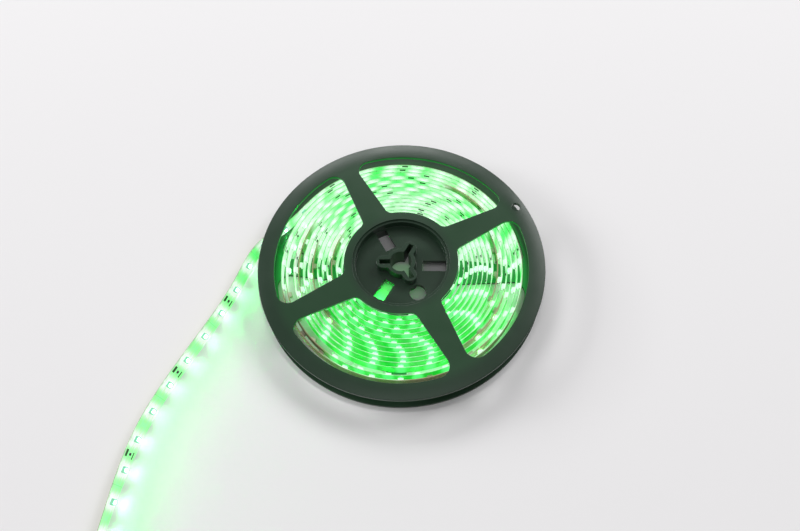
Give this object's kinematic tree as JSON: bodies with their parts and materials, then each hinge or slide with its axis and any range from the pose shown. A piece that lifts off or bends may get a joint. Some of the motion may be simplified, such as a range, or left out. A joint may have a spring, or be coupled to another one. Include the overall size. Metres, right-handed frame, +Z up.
{
  "type": "led strip light",
  "caption": "Flexible LED strip wound on edge on a round spoked plastic reel, with its lit free end drawn off across the table.",
  "frame": {"origin": "on the axis of the arbor hole, in the plane that the reel lies on", "axes": "+Z up along the arbor hole, out of the reel's upper flange; the free end of the strip leaves towards -X and runs off towards -Y"},
  "size_m": [0.2502, 0.2545, 0.014],
  "materials": {
    "reel_plastic": "satin",
    "tape": "satin",
    "led": "gloss",
    "resistor": "satin"
  },
  "bodies": {
    "root": {"reel_spool": "reel_plastic", "reel_upper_flange": "reel_plastic", "strip_tape": "tape", "leds_turn_01": "led", "leds_turn_02": "led", "leds_turn_03": "led", "leds_turn_04": "led", "leds_turn_05": "led", "leds_turn_06": "led", "leds_turn_07": "led", "leds_turn_08": "led", "leds_turn_09": "led", "leds_turn_10": "led", "leds_turn_11": "led", "leds_turn_12": "led", "leds_turn_13": "led", "leds_turn_14": "led", "leds_turn_15": "led", "led_free_end_01": "led", "led_free_end_02": "led", "led_free_end_03": "led", "led_free_end_04": "led", "led_free_end_05": "led", "led_free_end_06": "led", "led_free_end_07": "led", "led_free_end_08": "led", "led_free_end_09": "led", "led_free_end_10": "led", "led_free_end_11": "led", "led_free_end_12": "led", "led_free_end_13": "led", "led_free_end_14": "led", "led_free_end_15": "led", "resistors_turn_01": "resistor", "resistors_turn_02": "resistor", "resistors_turn_03": "resistor", "resistors_turn_04": "resistor", "resistors_turn_05": "resistor", "resistors_turn_06": "resistor", "resistors_turn_07": "resistor", "resistors_turn_08": "resistor", "resistors_turn_09": "resistor", "resistors_turn_10": "resistor", "resistors_turn_11": "resistor", "resistors_turn_12": "resistor", "resistors_turn_13": "resistor", "resistors_turn_14": "resistor", "resistors_turn_15": "resistor", "resistor_free_end_01": "resistor", "resistor_free_end_02": "resistor", "resistor_free_end_03": "resistor", "resistor_free_end_04": "resistor", "resistor_free_end_05": "resistor"}
  },
  "joints": []
}
